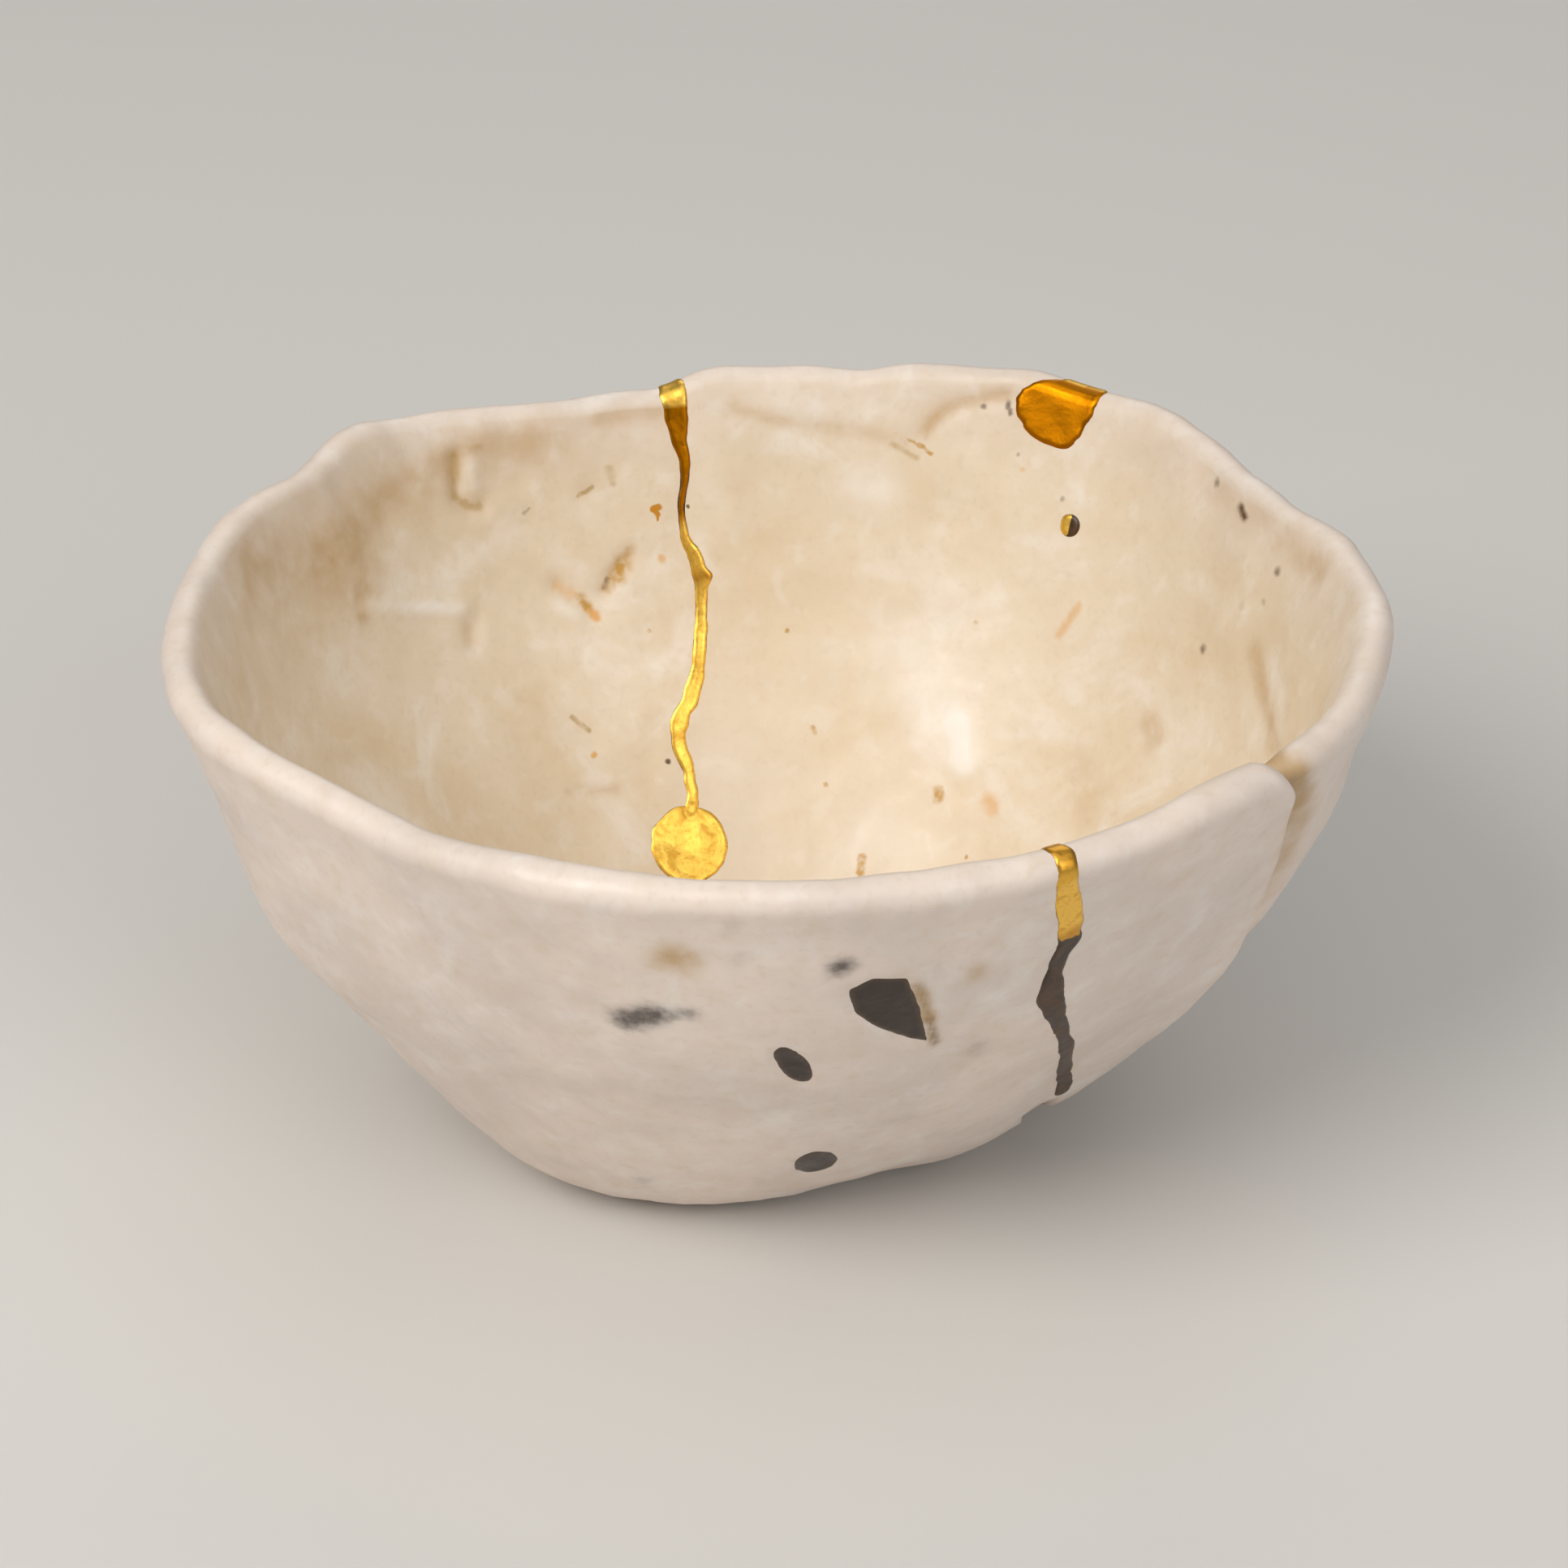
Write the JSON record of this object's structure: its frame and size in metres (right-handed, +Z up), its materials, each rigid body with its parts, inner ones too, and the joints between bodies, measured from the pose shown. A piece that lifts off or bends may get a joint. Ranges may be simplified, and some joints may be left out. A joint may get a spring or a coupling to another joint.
{
  "type": "kintsugi tea bowl",
  "caption": "Hand-pinched porcelain tea bowl with a lapped wall edge, mended with gold-dusted lacquer along its cracks and in a rim chip.",
  "frame": {"origin": "centre of the bowl's box in plan, on the surface that its foot rests on", "axes": "+Z up out of the mouth, +X along the longest width of the rim, -Y towards the side with the crack that shows from outside"},
  "size_m": [0.1178, 0.1078, 0.0582],
  "materials": {
    "porcelain": "thin satin glaze over off-white porcelain, stained tan inside",
    "gold": "burnished gold powder on brown lacquer",
    "lacquer": "dark brown urushi lacquer"
  },
  "bodies": {
    "root": {"porcelain_bowl": "porcelain", "gold_seam_far": "gold", "gold_seam_near": "gold", "gold_rim_chip": "gold", "gold_pinhole": "gold", "lacquer_pit_corner": "lacquer", "lacquer_pit_oval": "lacquer", "lacquer_pit_low": "lacquer"}
  },
  "joints": []
}
